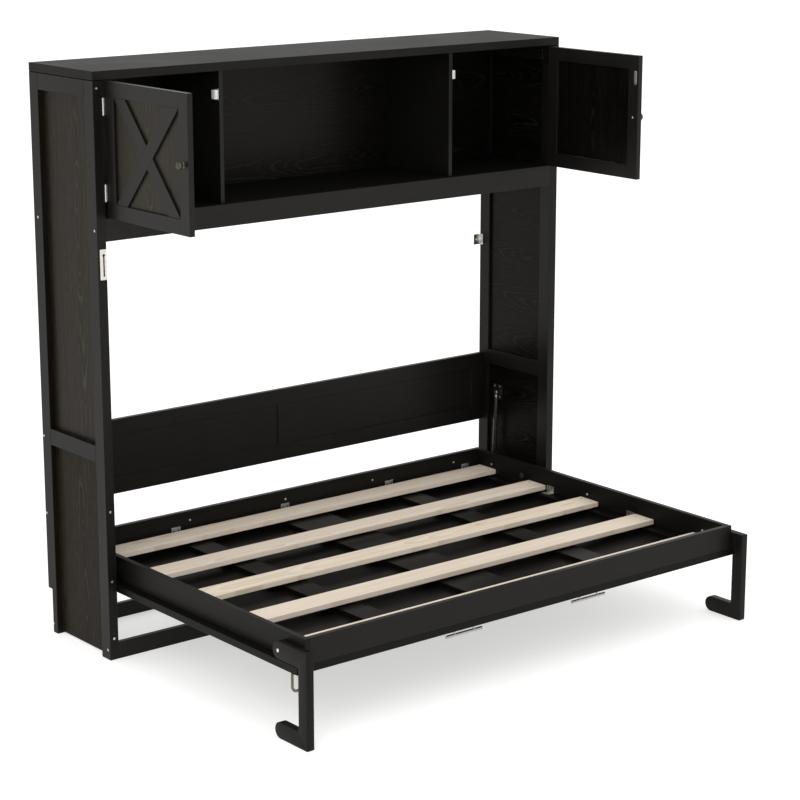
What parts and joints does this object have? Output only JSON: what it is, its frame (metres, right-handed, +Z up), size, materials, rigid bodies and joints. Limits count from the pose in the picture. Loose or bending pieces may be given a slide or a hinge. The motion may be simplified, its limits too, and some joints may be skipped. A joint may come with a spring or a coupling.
{
  "type": "murphy wall bed",
  "caption": "Black fold-down wall bed in a cabinet frame with slatted deck, folding front legs and a hutch with crossed-brace doors.",
  "frame": {"origin": "centre of the footprint on the floor, bed folded down", "axes": "+X to the right seen from the foot of the bed, +Y towards the wall, +Z up"},
  "size_m": [2.1, 1.517, 2.063],
  "materials": {
    "black_paint": "satin black paint on wood",
    "side_panel_grain": "brown-black oak-grain laminate, vertical grain",
    "door_panel_grain": "brown-black oak-grain laminate, vertical grain",
    "back_panel_grain": "brown-black oak-grain laminate, horizontal grain",
    "pine": "bare planed pine",
    "nickel": "satin nickel",
    "zinc_steel": "zinc-plated steel",
    "chrome": "polished chrome",
    "rod_chrome": "hard-chromed rod",
    "dark_bronze": "dark bronze, satin",
    "black_enamel": "gloss black enamel"
  },
  "bodies": {
    "cabinet": {"post_front_left": "black_paint", "post_rear_left": "black_paint", "side_top_rail_left": "black_paint", "side_mid_rail_left": "black_paint", "side_upper_panel_left": "side_panel_grain", "side_lower_panel_left": "side_panel_grain", "hutch_divider_left": "black_paint", "wall_bracket_left": "nickel", "pivot_plate_left": "zinc_steel", "door_hinge_lower_left": "nickel", "door_hinge_upper_left": "nickel", "post_front_right": "black_paint", "post_rear_right": "black_paint", "side_top_rail_right": "black_paint", "side_mid_rail_right": "black_paint", "side_upper_panel_right": "side_panel_grain", "side_lower_panel_right": "side_panel_grain", "hutch_divider_right": "black_paint", "wall_bracket_right": "nickel", "pivot_plate_right": "zinc_steel", "door_hinge_lower_right": "nickel", "door_hinge_upper_right": "nickel", "latch_strike_left": "nickel", "top_board": "black_paint", "hutch_floor": "black_paint", "hutch_front_rail": "black_paint", "hutch_back_panel": "back_panel_grain", "back_guard": "black_paint", "base_front_rail": "black_paint", "base_rear_rail": "black_paint"},
    "bed": {"bed_rail_left": "black_paint", "face_handle_left": "chrome", "bed_rail_right": "black_paint", "face_handle_right": "chrome", "bed_rail_front": "black_paint", "bed_rail_rear": "black_paint", "face_panel": "black_paint", "slat_1": "pine", "slat_2": "pine", "slat_3": "pine", "slat_4": "pine", "slat_5": "pine"},
    "door_left": {"door_frame_left": "black_paint", "door_panel_left": "door_panel_grain", "door_brace_left": "black_paint", "door_knob_left": "dark_bronze"},
    "leg_left": {"leg_left": "black_paint"},
    "strut_cylinder_left": {"strut_cylinder_left": "black_enamel"},
    "strut_rod_left": {"strut_rod_left": "rod_chrome"},
    "door_right": {"door_frame_right": "black_paint", "door_panel_right": "door_panel_grain", "door_brace_right": "black_paint", "door_knob_right": "dark_bronze"},
    "leg_right": {"leg_right": "black_paint"},
    "strut_cylinder_right": {"strut_cylinder_right": "black_enamel"},
    "strut_rod_right": {"strut_rod_right": "rod_chrome"},
    "latch_bail_left": {"latch_bail_left": "nickel"}
  },
  "joints": [
    {"name": "bed_fold", "type": "hinge", "parent": "cabinet", "child": "bed", "pos_m": [0, 0.425, 0.3015], "axis": [-1, 0, 0], "range_deg": [0, 90]},
    {"name": "door_left_swing", "type": "hinge", "parent": "cabinet", "child": "door_left", "pos_m": [-1.014, 0.3385, 1.8], "axis": [0, 0, 1], "range_deg": [-15, 90]},
    {"name": "door_right_swing", "type": "hinge", "parent": "cabinet", "child": "door_right", "pos_m": [1.014, 0.3385, 1.8], "axis": [0, 0, -1], "range_deg": [-15, 90]},
    {"name": "leg_left_swing", "type": "hinge", "parent": "bed", "child": "leg_left", "pos_m": [-0.995, -0.6055, 0.2995], "axis": [-1, 0, 0], "range_deg": [0, 180]},
    {"name": "leg_right_swing", "type": "hinge", "parent": "bed", "child": "leg_right", "pos_m": [0.995, -0.6055, 0.2995], "axis": [-1, 0, 0], "range_deg": [0, 180]},
    {"name": "strut_left_swing", "type": "hinge", "parent": "cabinet", "child": "strut_cylinder_left", "pos_m": [-1, 0.6315, 0.603], "axis": [-1, 0, 0], "range_deg": [0, 25.87]},
    {"name": "strut_left_stroke", "type": "slide", "parent": "strut_cylinder_left", "child": "strut_rod_left", "axis": [0, 0.0377, -0.9993], "range_m": [0, 0.2486]},
    {"name": "strut_right_swing", "type": "hinge", "parent": "cabinet", "child": "strut_cylinder_right", "pos_m": [1, 0.6315, 0.603], "axis": [-1, 0, 0], "range_deg": [0, 25.87]},
    {"name": "strut_right_stroke", "type": "slide", "parent": "strut_cylinder_right", "child": "strut_rod_right", "axis": [0, 0.0377, -0.9993], "range_m": [0, 0.2486]},
    {"name": "bail_left_swing", "type": "hinge", "parent": "bed", "child": "latch_bail_left", "pos_m": [-0.979, -0.6685, 0.234], "axis": [1, 0, 0], "range_deg": [-25, 80]}
  ],
  "couplings": [
    {"joint": "strut_left_swing", "follows": "bed_fold", "ratio": 0.28192},
    {"joint": "strut_left_stroke", "follows": "bed_fold", "m_per_rad": 0.15761},
    {"joint": "strut_right_swing", "follows": "bed_fold", "ratio": 0.28192},
    {"joint": "strut_right_stroke", "follows": "bed_fold", "m_per_rad": 0.15761}
  ]
}
